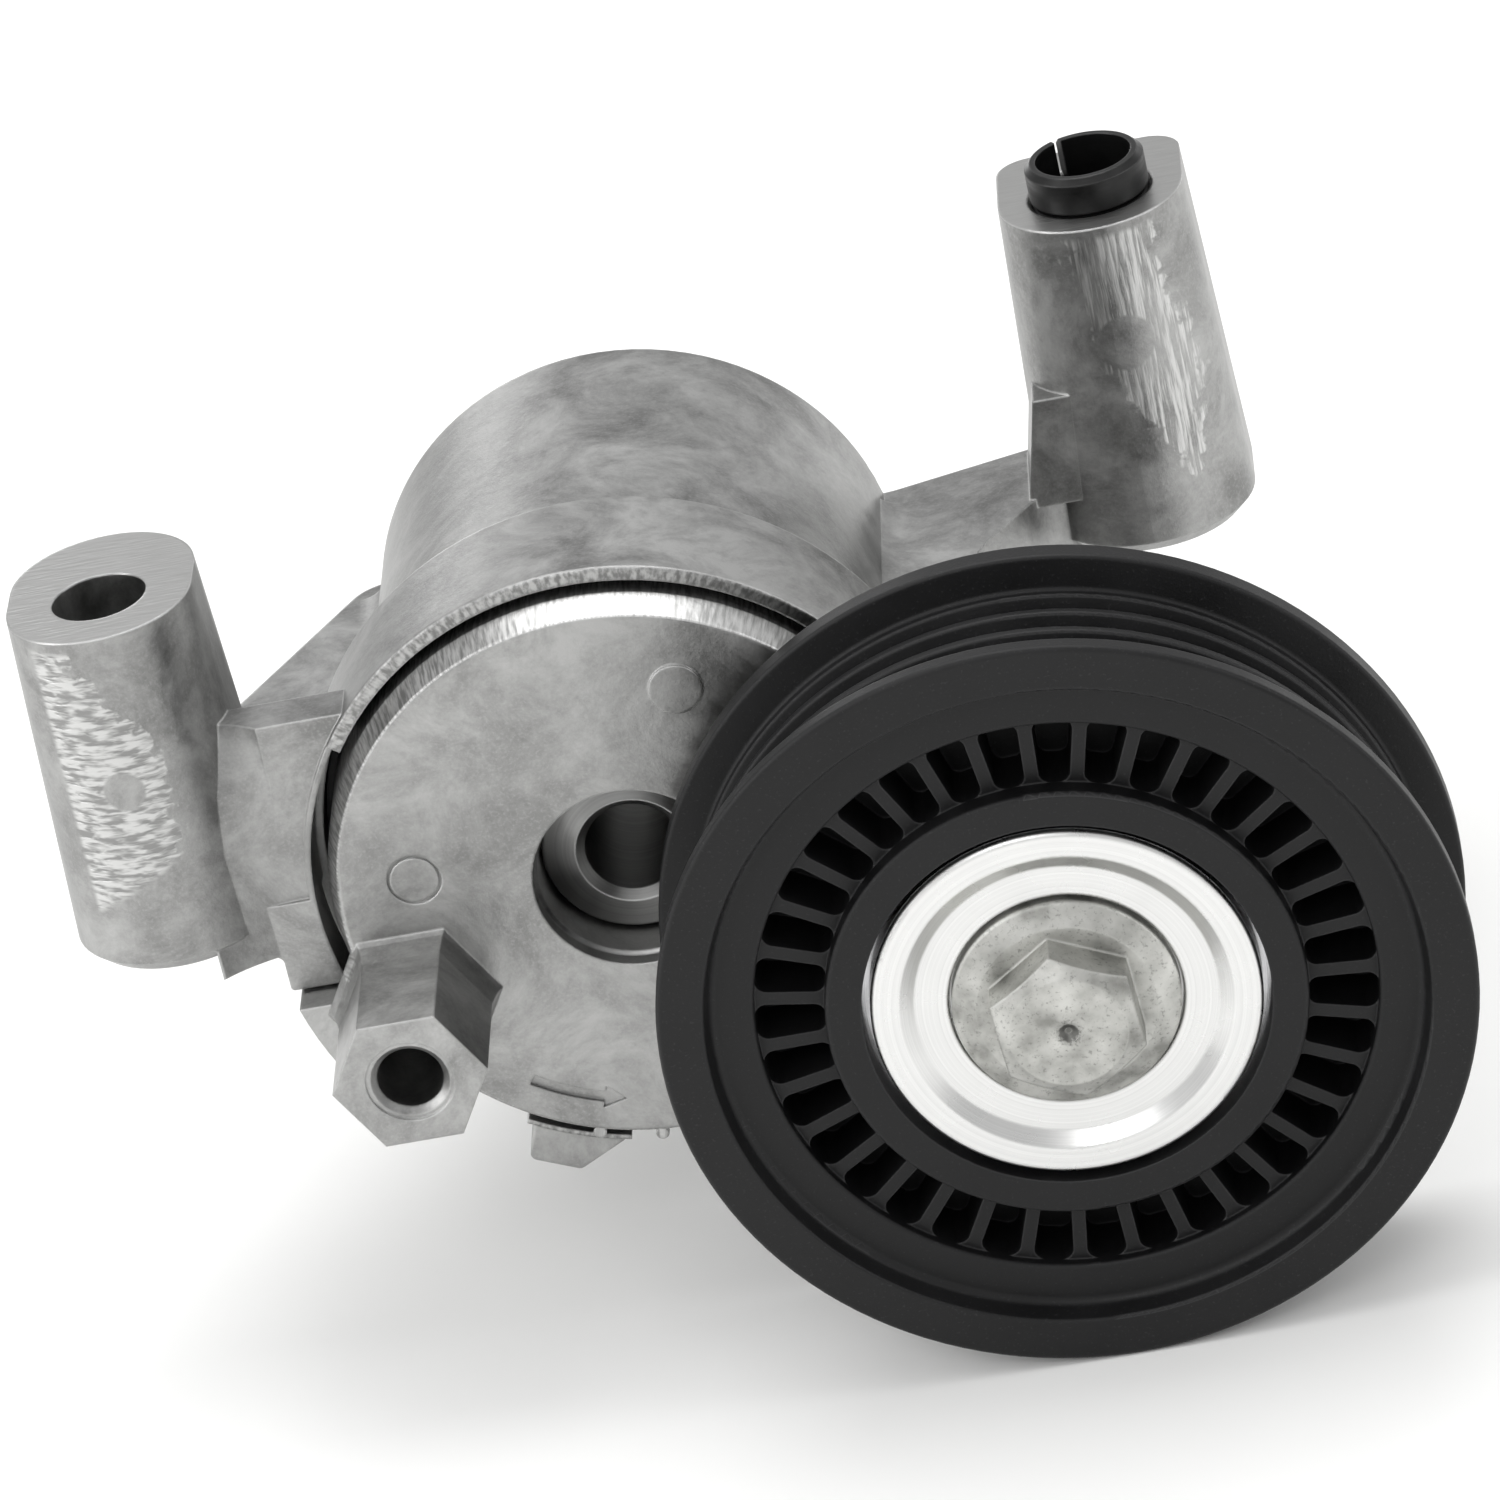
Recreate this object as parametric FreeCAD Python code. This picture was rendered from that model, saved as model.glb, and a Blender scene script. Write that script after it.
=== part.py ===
"""Automatic belt tensioner: spring housing, sprung arm and grooved idler pulley.

It is modelled about the arm's pivot: the pivot axis is the Y axis, Y = 0 is the pulley's front
face, +Y points to the rear and +Z is the direction of the two mounting bosses. Every piece is
moved at export, so that the origin lies on the left bolt hole's axis in the mounting face plane.
"""
import FreeCAD, Part
import math
import os

V = FreeCAD.Vector
Y_AXIS = V(0, 1, 0)
Z_AXIS = V(0, 0, 1)

# ---- clearances ----
RUNNING = 0.05            # radial clearance of a turning fit
FREE_GAP = 0.3            # gap between pieces that move past each other
SHOE_GAP = 0.2            # gap between the unloaded friction ring and the housing's rim
OVERCUT = 1.0             # how far a cutting body reaches past the face it opens

# ---- pulley, for a four-groove belt ----
PULLEY_R = 38.0
PULLEY_WIDTH = 20.8
FLANGE_FRONT = 2.0
FLANGE_REAR = 2.6
GROOVE_COUNT = 4
GROOVE_PITCH = 3.56
GROOVE_CREST_R = 34.7
GROOVE_DEPTH = 3.0
GROOVE_MOUTH = 2.5
GROOVE_ROOT = 0.7
RIM_STEP_R = 33.0
RIM_STEP_DEPTH = 2.3
RIM_INNER_R = 28.9
HUB_RING_R = 22.4
HUB_LIP_R = 19.0
HUB_SETBACK = 1.2
VANE_COUNT = 35
VANE_THICKNESS = 1.3
VANE_SETBACK = 3.4
WEB_THICKNESS = 2.0

# ---- ball bearing 6203 ----
BEARING_OD = 40.0
BEARING_BORE = 17.0
BEARING_WIDTH = 12.0
BALL_COUNT = 8
BALL_R = 3.37
RING_WALL = 3.3
SEAL_THICKNESS = 1.0
SEAL_LAND = 0.8
CAGE_SHEET = 0.5
RIVET_R = 0.4

# ---- shields and pulley bolt, M10 with a 13 mm hexagon ----
SHIELD_R = 18.2
SHIELD_SHEET = 0.8
SHIELD_FRONT_Y = 1.5
SHIELD_DISH_R = 14.1
SHIELD_DISH_DEPTH = 1.0
SHIELD_SLOPE = 1.5
HEX_AF = 13.0
BOLT_R = 5.0
BOLT_FLANGE_R = 10.65
BOLT_FLANGE_THICKNESS = 2.65
BOLT_HEAD_HEIGHT = 4.7
BOLT_HEX_TURN = 3.8

# ---- arm ----
ARM_X = 39.8
ARM_Z = -8.2
DISC_R = 28.0
DISC_SIDE_R = 29.0
DISC_FRONT_Y = PULLEY_WIDTH + 4.2
DISC_TAPER = 3.0
DISC_THICKNESS = 10.3
SKIRT_DEPTH = 4.0
SKIRT_WALL = 3.6
RECESS_R = 9.05
RECESS_STEP = 0.4
ARM_HUB_R = 13.0
ARM_HUB_LENGTH = 41.0
NECK_FRONT_Y = PULLEY_WIDTH + 1.8
NECK_REAR_Y = NECK_FRONT_Y + 5.7
NECK_R = 11.5
POST_R = 8.4
POST_REAR_Y = NECK_FRONT_Y + 12.4
TOOL_X = -23.0
TOOL_Z = -9.3
TOOL_FRONT_Y = DISC_FRONT_Y - 15.0
TOOL_REAR_Y = DISC_FRONT_Y + 3.3
TOOL_BORE_R = 3.15
TOOL_SPOTFACE_R = 4.2
TOOL_SPOTFACE_DEPTH = 0.25
TOOL_COUNTERSINK = 0.65
TOOL_ROOT_GROWTH = 2.2
LUG_REAR_Y = DISC_FRONT_Y + 10.0
LUG_R = 35.3
LUG_END_ANGLE = 208.5

# ---- pivot ----
PIVOT_R = 7.0
PIVOT_BORE_R = 4.6
PIVOT_FLANGE_R = 8.8
PIVOT_FLANGE_Y = DISC_FRONT_Y + 5.3
PIVOT_FLANGE_THICKNESS = 3.0
THRUST_THICKNESS = 0.8
BUSH_WALL = 1.6
BUSH_LENGTH = 12.0
WASHER_R = 11.0
WASHER_THICKNESS = 1.5

# ---- housing ----
DRUM_R = 26.5
DRUM_WALL = 3.0
DRUM_REAR_Y = DISC_FRONT_Y + 62.0
FLOOR_THICKNESS = 4.5
HOUSING_HUB_R = 10.5
RIM_R = 31.3
RIM_WALL = 1.4
RIM_FRONT_Y = DISC_FRONT_Y + 3.6
SHOULDER_Y = DISC_FRONT_Y + 18.5
SHOE_LENGTH = 3.6
SHOE_WALL = 4.0
BAND_SHEET = 0.6
LINER_WALL = 0.8

# ---- torsion spring ----
WIRE_R = 2.3
SPRING_R = 19.3
SPRING_PITCH = 5.6

# ---- mounting bosses, both along Z ----
MOUNT_Z = 33.8
BOSS_BOTTOM_Z = -2.0
BOSS_DRAFT = 1.4
BOLT_HOLE_R = 4.6
LEFT_X = -44.7
LEFT_Y = DISC_FRONT_Y + 10.9
LEFT_BOSS_R = 9.0
LEFT_BOSS_TAIL = 4.0
DOWEL_X = 52.3
DOWEL_Y = DRUM_REAR_Y - 0.1
RIGHT_BOSS_R = 9.3
RIGHT_BOSS_TAIL = 1.0
RIGHT_CORNER_R = 3.5
DOWEL_R = 6.0
DOWEL_WALL = 1.2
DOWEL_PROUD = 3.9
DOWEL_SEAT = 13.0
DOWEL_SLIT = 0.8
DOWEL_SLIT_TURN = 120.0

# ---- bracket, web and stops ----
BRACKET_FRONT_Y = DISC_FRONT_Y + 4.5
BRACKET_THICKNESS = 5.0
BRACKET_TOP_Z = 20.3
BRACKET_BOTTOM_Z = -4.1
BLEND_RIGHT_X = -32.2
FOOT_BLOCK_TOP_Z = 1.4
FOOT_BLOCK_PROUD = 0.5
SLOT_R = 30.7
WEB_TOP_Z = 5.3
WEB_DEPTH = 7.0
GUSSET_TOP_Z = 16.0
GUSSET_REACH = 8.4
STOP_LEFT_X = -35.2
STOP_Z = -8.0
TRAVEL = 30.0
END_STOP_R = 35.1
WINDOW_START_ANGLE = 146.0
WINDOW_END_ANGLE = 318.0

# ---- worked-out places ----
WEB_MID_Y = PULLEY_WIDTH / 2
BEARING_FRONT_Y = WEB_MID_Y - BEARING_WIDTH / 2
BEARING_REAR_Y = WEB_MID_Y + BEARING_WIDTH / 2
BEARING_R = BEARING_OD / 2
BORE_R = BEARING_BORE / 2
PITCH_R = (BEARING_R + BORE_R) / 2
BOLT_SEAT_Y = BEARING_FRONT_Y - SHIELD_SHEET
BOLT_FACE_Y = BOLT_SEAT_Y - BOLT_FLANGE_THICKNESS
POST_FACE_Y = BEARING_REAR_Y + SHIELD_SHEET
RIM_BORE_R = RIM_R - RIM_WALL
DRUM_BORE_R = DRUM_R - DRUM_WALL
FLOOR_Y = DRUM_REAR_Y - FLOOR_THICKNESS
DISC_REAR_Y = DISC_FRONT_Y + DISC_THICKNESS
SKIRT_REAR_Y = DISC_REAR_Y + SKIRT_DEPTH
RECESS_FLOOR_Y = PIVOT_FLANGE_Y + PIVOT_FLANGE_THICKNESS + THRUST_THICKNESS + RUNNING
HUB_REAR_Y = DISC_REAR_Y + ARM_HUB_LENGTH
HUB_BORE_R = PIVOT_R + RUNNING + BUSH_WALL
HOUSING_HUB_Y = HUB_REAR_Y + FREE_GAP
PIVOT_REAR_Y = DRUM_REAR_Y + WASHER_THICKNESS
SPRING_FRONT_Y = DISC_REAR_Y + FREE_GAP + WIRE_R
SPRING_REAR_Y = FLOOR_Y - FREE_GAP - WIRE_R
LUG_TOP_Z = STOP_Z - FREE_GAP
END_STOP_ANGLE = LUG_END_ANGLE + TRAVEL + 0.5


# ---- shape helpers ----
def outline(points, place):
    """Closed wire through (u, v) or (u, v, radius) points, whose named corners are rounded."""
    corners = []
    for index, point in enumerate(points):
        here = V(point[0], point[1], 0)
        radius = point[2] if len(point) > 2 else 0
        if radius == 0:
            corners.append((here, here, here))
            continue
        last = points[index - 1]
        following = points[(index + 1) % len(points)]
        back = (V(last[0], last[1], 0) - here).normalize()
        ahead = (V(following[0], following[1], 0) - here).normalize()
        half = back.getAngle(ahead) / 2
        reach = radius / math.tan(half)
        bisector = (back + ahead).normalize()
        middle = here + bisector * (radius / math.sin(half) - radius)
        corners.append((here + back * reach, middle, here + ahead * reach))
    edges = []
    for index, (start, middle, end) in enumerate(corners):
        if (end - start).Length > 1e-6:
            edges.append(Part.Arc(place(start), place(middle), place(end)).toShape())
        next_start = corners[(index + 1) % len(corners)][0]
        if (next_start - end).Length > 1e-6:
            edges.append(Part.makeLine(place(end), place(next_start)))
    return Part.Wire(edges)


def revolved(points, x=0.0, z=0.0):
    """Solid of revolution about the Y-parallel axis at (x, z) from (radius, y) points."""
    wire = outline(points, lambda p: V(x + p.x, p.y, z))
    return Part.Face(wire).revolve(V(x, 0, z), Y_AXIS, 360)


def ring(outer, inner, front, rear, x=0.0, z=0.0):
    """Plain ring along Y; an inner radius of 0 gives a disc."""
    body = Part.makeCylinder(outer, rear - front, V(x, front, z), Y_AXIS)
    if inner == 0:
        return body
    hole = Part.makeCylinder(inner, rear - front + 2 * OVERCUT, V(x, front - OVERCUT, z), Y_AXIS)
    return body.cut(hole)


def plate_along_y(points, front, rear):
    """Prism along Y from an outline of (x, z) points."""
    wire = outline(points, lambda p: V(p.x, front, p.y))
    return Part.Face(wire).extrude(V(0, rear - front, 0))


def plate_along_z(points, bottom, top):
    """Prism along Z from an outline of (x, y) points."""
    wire = outline(points, lambda p: V(p.x, p.y, bottom))
    return Part.Face(wire).extrude(V(0, 0, top - bottom))


def hexagon_wire(x, z, y, across, turn=0.0):
    """Closed hexagon in the plane of one y; with no turn a corner points along X."""
    corner_r = across / math.sqrt(3)
    angles = [math.radians(turn + 60 * step) for step in range(6)]
    points = [V(x + corner_r * math.cos(a), y, z + corner_r * math.sin(a)) for a in angles]
    return Part.makePolygon(points + points[:1])


def hexagon(x, z, front, rear, turn=0.0):
    """Hexagonal prism along Y."""
    face = Part.Face(hexagon_wire(x, z, front, HEX_AF, turn))
    return face.extrude(V(0, rear - front, 0))


def polar(radius, angle):
    """(x, z) point about the pivot, the angle in degrees from +X towards +Z."""
    turn = math.radians(angle)
    return (radius * math.cos(turn), radius * math.sin(turn))


def sector(inner, outer, start, end, front, rear):
    """Part of a ring about the pivot between two angles, in degrees from +X towards +Z."""
    def at(radius, angle):
        x, z = polar(radius, angle)
        return V(x, front, z)
    middle = (start + end) / 2
    edges = [
        Part.Arc(at(outer, start), at(outer, middle), at(outer, end)).toShape(),
        Part.makeLine(at(outer, end), at(inner, end)),
        Part.Arc(at(inner, end), at(inner, middle), at(inner, start)).toShape(),
        Part.makeLine(at(inner, start), at(outer, start)),
    ]
    return Part.Face(Part.Wire(edges)).extrude(V(0, rear - front, 0))


def joined(first, *others):
    return first.fuse(list(others)).removeSplitter()


def around_pulley(shape, angle):
    """Copy of a shape turned about the pulley's axis."""
    copy = shape.copy()
    copy.rotate(V(ARM_X, 0, ARM_Z), Y_AXIS, angle)
    return copy


# ---- housing and what is fixed to it ----
def boss_outline(x, y, radius, tail, corner, height):
    """Boss section: round in front, square or round behind."""
    front_corner = radius - 0.05
    points = [
        (x - radius, y - radius, front_corner),
        (x + radius, y - radius, front_corner),
        (x + radius, y + radius + tail, corner),
        (x - radius, y + radius + tail, corner),
    ]
    return outline(points, lambda p: V(p.x, p.y, height))


def boss(x, y, radius, tail, square_corner=None):
    """Drafted boss along Z with a bevelled lower end."""
    bevel = 1.3
    sections = []
    for height, growth in ((BOSS_BOTTOM_Z, BOSS_DRAFT - bevel), (BOSS_BOTTOM_Z + bevel, BOSS_DRAFT),
                           (MOUNT_Z, 0.0)):
        grown = radius + growth
        corner = grown - 0.05 if square_corner is None else square_corner + growth
        sections.append(boss_outline(x, y, grown, tail, corner, height))
    return Part.makeLoft(sections, True, True)


def web_outline():
    """Horizontal web that ties both bosses to the drum."""
    left_side = LEFT_X - LEFT_BOSS_R + 6
    return [
        (left_side, LEFT_Y), (left_side, LEFT_Y + 14, 6),
        (-DRUM_R - 12.3, DRUM_REAR_Y - 21, 12), (-DRUM_R - 1, DRUM_REAR_Y - 1, 5),
        (0, DRUM_REAR_Y - 1), (DRUM_R, DRUM_REAR_Y - 1, 8), (DOWEL_X - 10, DOWEL_Y + 3.5, 6),
        (DOWEL_X, DOWEL_Y + 3.5), (DOWEL_X, DOWEL_Y - 5), (DOWEL_X - 10, DOWEL_Y - 7, 6),
        (DRUM_R + 9, DRUM_REAR_Y - 17, 10), (DRUM_R + 3, SHOULDER_Y + 6.5, 4), (0, SHOULDER_Y + 2.5),
        (0, LEFT_Y),
    ]


def cove(side):
    """Concave fillet between the drum and the web's top, on one side of the drum."""
    radius = 3.5
    rise = math.sqrt(DRUM_R ** 2 - (WEB_TOP_Z + radius) ** 2) - 0.4
    front = SHOULDER_Y + 8
    slant = radius * (1 - math.cos(math.pi / 4))
    toe = V(side * (rise + radius), front, WEB_TOP_Z)
    middle = V(side * (rise + slant), front, WEB_TOP_Z + slant)
    top = V(side * rise, front, WEB_TOP_Z + radius)
    heel = V(side * (rise - 1), front, WEB_TOP_Z - 0.5)
    foot = V(side * (rise + radius), front, WEB_TOP_Z - 0.5)
    edges = [Part.Arc(toe, middle, top).toShape(), Part.makeLine(top, heel), Part.makeLine(heel, foot),
             Part.makeLine(foot, toe)]
    return Part.Face(Part.Wire(edges)).extrude(V(0, DRUM_REAR_Y - 4 - front, 0))


def bracket_blend():
    """Hollow-faced blend from the left boss into the bracket; it grows towards the bottom."""
    sections = ((BRACKET_TOP_Z, 64.5, 0.3), (BRACKET_TOP_Z - 6.5, 45.7, 0.5),
                (BRACKET_TOP_Z - 12.5, 31.3, 0.7), (FOOT_BLOCK_TOP_Z - 0.6, 22.3, 0.7),
                (BRACKET_BOTTOM_Z, 22.3, 0.7))
    wires = []
    for height, turn, hollow in sections:
        fall = min((MOUNT_Z - height) / (MOUNT_Z - BOSS_BOTTOM_Z), 1.0)
        radius = LEFT_BOSS_R + BOSS_DRAFT * fall - 0.1
        start = V(LEFT_X + radius * math.sin(math.radians(turn)),
                  LEFT_Y - radius * math.cos(math.radians(turn)), height)
        end = V(BLEND_RIGHT_X, BRACKET_FRONT_Y, height)
        middle = (start + end) * 0.5 + V(0, hollow, 0)
        rear = BRACKET_FRONT_Y + BRACKET_THICKNESS
        corner, heel = V(BLEND_RIGHT_X, rear, height), V(LEFT_X + 6, rear, height)
        wires.append(Part.Wire([
            Part.Arc(start, middle, end).toShape(), Part.makeLine(end, corner),
            Part.makeLine(corner, heel), Part.makeLine(heel, start),
        ]))
    return Part.makeLoft(wires, True, True)


def housing():
    shell = revolved([
        (0, RIM_FRONT_Y), (RIM_R, RIM_FRONT_Y, 0.3), (RIM_R, SHOULDER_Y, 1),
        (DRUM_R, SHOULDER_Y + 4.5, 2), (DRUM_R, DRUM_REAR_Y, 1.5), (0, DRUM_REAR_Y),
    ])
    bracket_left = LEFT_X + LEFT_BOSS_R - 5.2
    bracket_right = -SLOT_R + 12
    bracket = plate_along_y([
        (BLEND_RIGHT_X - 0.1, BRACKET_TOP_Z), (BLEND_RIGHT_X - 0.1, STOP_Z + 1),
        (STOP_LEFT_X, STOP_Z + 1), (STOP_LEFT_X, STOP_Z, 0.4), (bracket_right, STOP_Z),
        (bracket_right, BRACKET_TOP_Z),
    ], BRACKET_FRONT_Y, BRACKET_FRONT_Y + BRACKET_THICKNESS)
    foot_block = plate_along_y([
        (bracket_left, BRACKET_BOTTOM_Z, 0.6), (STOP_LEFT_X, BRACKET_BOTTOM_Z, 0.8),
        (STOP_LEFT_X, STOP_Z, 0.4), (bracket_right, STOP_Z), (bracket_right, FOOT_BLOCK_TOP_Z),
        (bracket_left, FOOT_BLOCK_TOP_Z),
    ], BRACKET_FRONT_Y - FOOT_BLOCK_PROUD, BRACKET_FRONT_Y + 1)
    web = plate_along_z(web_outline(), WEB_TOP_Z - WEB_DEPTH, WEB_TOP_Z)
    gusset = plate_along_y([
        (DOWEL_X - RIGHT_BOSS_R, GUSSET_TOP_Z), (DOWEL_X - RIGHT_BOSS_R - 2.4, WEB_TOP_Z - 1),
        (DOWEL_X, WEB_TOP_Z - 1), (DOWEL_X, GUSSET_TOP_Z),
    ], DOWEL_Y - GUSSET_REACH, DOWEL_Y + 2.5)
    end_stop = plate_along_y([
        polar(DRUM_R, END_STOP_ANGLE), polar(END_STOP_R, END_STOP_ANGLE + 2.5) + (0.8,),
        polar(END_STOP_R, END_STOP_ANGLE + 11) + (0.8,), polar(RIM_R, END_STOP_ANGLE + 18) + (0.8,),
        polar(DRUM_R, END_STOP_ANGLE + 18),
    ], RIM_FRONT_Y + FREE_GAP, SHOULDER_Y + 2)
    body = joined(
        shell, bracket, bracket_blend(), foot_block, web, gusset, end_stop, cove(-1), cove(1),
        boss(LEFT_X, LEFT_Y, LEFT_BOSS_R, LEFT_BOSS_TAIL),
        boss(DOWEL_X, DOWEL_Y, RIGHT_BOSS_R, RIGHT_BOSS_TAIL, RIGHT_CORNER_R),
    )
    cavity = revolved([
        (0, RIM_FRONT_Y - OVERCUT), (RIM_BORE_R, RIM_FRONT_Y - OVERCUT), (RIM_BORE_R, SHOULDER_Y, 0.8),
        (DRUM_BORE_R, SHOULDER_Y), (DRUM_BORE_R, FLOOR_Y, 1.5), (HOUSING_HUB_R, FLOOR_Y, 1),
        (HOUSING_HUB_R, HOUSING_HUB_Y), (0, HOUSING_HUB_Y),
    ])
    slot = sector(DISC_R - 3, SLOT_R, WINDOW_START_ANGLE, WINDOW_END_ANGLE, RIM_FRONT_Y - OVERCUT,
                  LUG_REAR_Y + 1.5)
    slot_rear = sector(DISC_R - 3, LUG_R + 4, 180, 194, BRACKET_FRONT_Y + BRACKET_THICKNESS,
                       LUG_REAR_Y + 1.5)
    window = sector(DISC_R - 3, LUG_R + 2, 194.5, END_STOP_ANGLE, RIM_FRONT_Y - OVERCUT,
                    LUG_REAR_Y + 1.5)
    rim_relief = sector(SLOT_R - 1, RIM_R + 0.5, END_STOP_ANGLE + 19, WINDOW_END_ANGLE,
                        RIM_FRONT_Y - OVERCUT, LUG_REAR_Y + 1.5)
    rim_trim = sector(SLOT_R - 1, RIM_R + 0.5, WINDOW_START_ANGLE, 194.5, RIM_FRONT_Y - OVERCUT,
                      BRACKET_FRONT_Y - FOOT_BLOCK_PROUD)
    window = window.common(Part.makeBox(80, 40, 60, V(-60, DISC_FRONT_Y - 5, STOP_Z - 60)))
    body = body.cut([
        cavity, slot, slot_rear, window, rim_relief, rim_trim,
        ring(PIVOT_R, 0, FLOOR_Y - 20, DRUM_REAR_Y + OVERCUT),
        Part.makeCylinder(BOLT_HOLE_R, 60, V(LEFT_X, LEFT_Y, BOSS_BOTTOM_Z - OVERCUT)),
        Part.makeCylinder(BOLT_HOLE_R, 60, V(DOWEL_X, DOWEL_Y, BOSS_BOTTOM_Z - OVERCUT)),
        Part.makeCylinder(DOWEL_R, 60, V(DOWEL_X, DOWEL_Y, MOUNT_Z - DOWEL_SEAT)),
        Part.makeCone(DOWEL_R, DOWEL_R + 0.4, 0.4, V(DOWEL_X, DOWEL_Y, MOUNT_Z - 0.4)),
    ])
    return body


def dowel_sleeve():
    """Rolled locating sleeve with chamfered ends, one slit and a relief groove at the boss's face."""
    chamfer = 0.6
    bottom = MOUNT_Z - DOWEL_SEAT
    top = MOUNT_Z + DOWEL_PROUD
    bore_r = DOWEL_R - DOWEL_WALL
    groove_r = DOWEL_R - 0.4
    wire = outline([
        (bore_r, bottom), (DOWEL_R - chamfer, bottom), (DOWEL_R, bottom + chamfer),
        (DOWEL_R, MOUNT_Z - 0.8), (groove_r, MOUNT_Z - 0.5), (groove_r, MOUNT_Z - 0.2),
        (DOWEL_R, MOUNT_Z + 0.2), (DOWEL_R, top - chamfer), (DOWEL_R - chamfer, top), (bore_r, top),
    ], lambda p: V(DOWEL_X + p.x, DOWEL_Y, p.y))
    sleeve = Part.Face(wire).revolve(V(DOWEL_X, DOWEL_Y, 0), Z_AXIS, 360)
    slit = Part.makeBox(DOWEL_R + 2, DOWEL_SLIT, top - bottom + 2,
                        V(DOWEL_X, DOWEL_Y - DOWEL_SLIT / 2, bottom - 1))
    slit.rotate(V(DOWEL_X, DOWEL_Y, 0), Z_AXIS, DOWEL_SLIT_TURN)
    return sleeve.cut(slit)


def pivot_tube():
    """Hollow pivot: flange in front, swaged lip over the washer behind."""
    lip = 1.2
    return revolved([
        (PIVOT_BORE_R + 0.9, PIVOT_FLANGE_Y), (PIVOT_FLANGE_R, PIVOT_FLANGE_Y + 0.9, 0.4),
        (PIVOT_FLANGE_R, PIVOT_FLANGE_Y + PIVOT_FLANGE_THICKNESS),
        (PIVOT_R, PIVOT_FLANGE_Y + PIVOT_FLANGE_THICKNESS), (PIVOT_R, PIVOT_REAR_Y),
        (PIVOT_R + lip, PIVOT_REAR_Y), (PIVOT_R + lip, PIVOT_REAR_Y + 0.6),
        (PIVOT_R - 0.6, PIVOT_REAR_Y + lip), (PIVOT_BORE_R, PIVOT_REAR_Y + lip),
        (PIVOT_BORE_R, PIVOT_FLANGE_Y + 0.9),
    ])


def rear_washer():
    return ring(WASHER_R, PIVOT_R, DRUM_REAR_Y, DRUM_REAR_Y + WASHER_THICKNESS)


def spring_liner():
    """Plastic sleeve that keeps the spring off the drum's wall."""
    return revolved([
        (DRUM_BORE_R - LINER_WALL, SHOULDER_Y + 1), (DRUM_BORE_R, SHOULDER_Y + 1),
        (DRUM_BORE_R, FLOOR_Y - 2), (DRUM_BORE_R - LINER_WALL, FLOOR_Y - 2),
    ])


def torsion_spring():
    """Round wire coil between the arm's disc and the housing's floor."""
    length = SPRING_REAR_Y - SPRING_FRONT_Y
    helix = Part.makeHelix(SPRING_PITCH, length, SPRING_R)
    section = Part.Wire(Part.makeCircle(WIRE_R, V(SPRING_R, 0, 0), Y_AXIS))
    coil = Part.Wire(helix).makePipeShell([section], True, True)
    coil.rotate(V(0, 0, 0), V(1, 0, 0), -90)
    coil.translate(V(0, SPRING_FRONT_Y, 0))
    return coil


# ---- arm and what turns with it ----
def disc_mark(x, z, radius, depth):
    """Round ejector mark outlined by a thin groove in the disc's face."""
    return ring(radius, radius - 0.25, DISC_FRONT_Y - depth, DISC_FRONT_Y + depth, x, z)


def arrow():
    """Curved arrow sunk into the lower part of the disc's face."""
    mid_r = 24.4
    depth = 0.4
    shaft = sector(mid_r - 0.55, mid_r + 0.55, 235, 253, DISC_FRONT_Y - 1, DISC_FRONT_Y + depth)
    head = plate_along_y([polar(mid_r, 257), polar(mid_r + 1.2, 252), polar(mid_r - 1.2, 252)],
                         DISC_FRONT_Y - 1, DISC_FRONT_Y + depth)
    return shaft.fuse(head)


def neck():
    """Tapered bar in front of the housing's rim, from the disc to the bearing post."""
    reach = math.hypot(ARM_X, ARM_Z)
    root_r = 18.0
    lean = math.asin((root_r - NECK_R) / reach)
    heading = math.atan2(ARM_Z, ARM_X)
    def tangent(x, z, radius, side):
        turn = heading + side * (math.pi / 2 - lean)
        return V(x + radius * math.cos(turn), NECK_FRONT_Y, z + radius * math.sin(turn))
    near_top, near_bottom = tangent(6, -1.2, root_r, 1), tangent(6, -1.2, root_r, -1)
    far_top, far_bottom = tangent(ARM_X, ARM_Z, NECK_R, 1), tangent(ARM_X, ARM_Z, NECK_R, -1)
    tip = V(ARM_X + NECK_R * math.cos(heading), NECK_FRONT_Y, ARM_Z + NECK_R * math.sin(heading))
    edges = [Part.makeLine(near_top, far_top), Part.Arc(far_top, tip, far_bottom).toShape(),
             Part.makeLine(far_bottom, near_bottom), Part.makeLine(near_bottom, near_top)]
    bar = Part.Face(Part.Wire(edges)).extrude(V(0, NECK_REAR_Y - NECK_FRONT_Y, 0))
    return bar.cut(ring(RECESS_R + 4, 0, NECK_FRONT_Y - 1, DISC_FRONT_Y))


def tool_root():
    """Flared foot that carries the hexagon into the disc's face."""
    growths = ((3.3, -0.1), (1.4, 0.25), (0.5, 0.5), (-0.4, 1.0))
    wires = []
    for setback, share in growths:
        across = HEX_AF + TOOL_ROOT_GROWTH * share
        wires.append(hexagon_wire(TOOL_X, TOOL_Z, DISC_FRONT_Y - setback, across))
    return Part.makeLoft(wires, True, True)


def stop_lug():
    """Lug on the disc's side that meets the housing's stops."""
    block = sector(DISC_SIDE_R - 2, LUG_R, 180, LUG_END_ANGLE, DISC_FRONT_Y + 0.5, LUG_REAR_Y)
    return block.common(Part.makeBox(60, 40, 60, V(-60, DISC_FRONT_Y - 15, LUG_TOP_Z - 60)))


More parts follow.
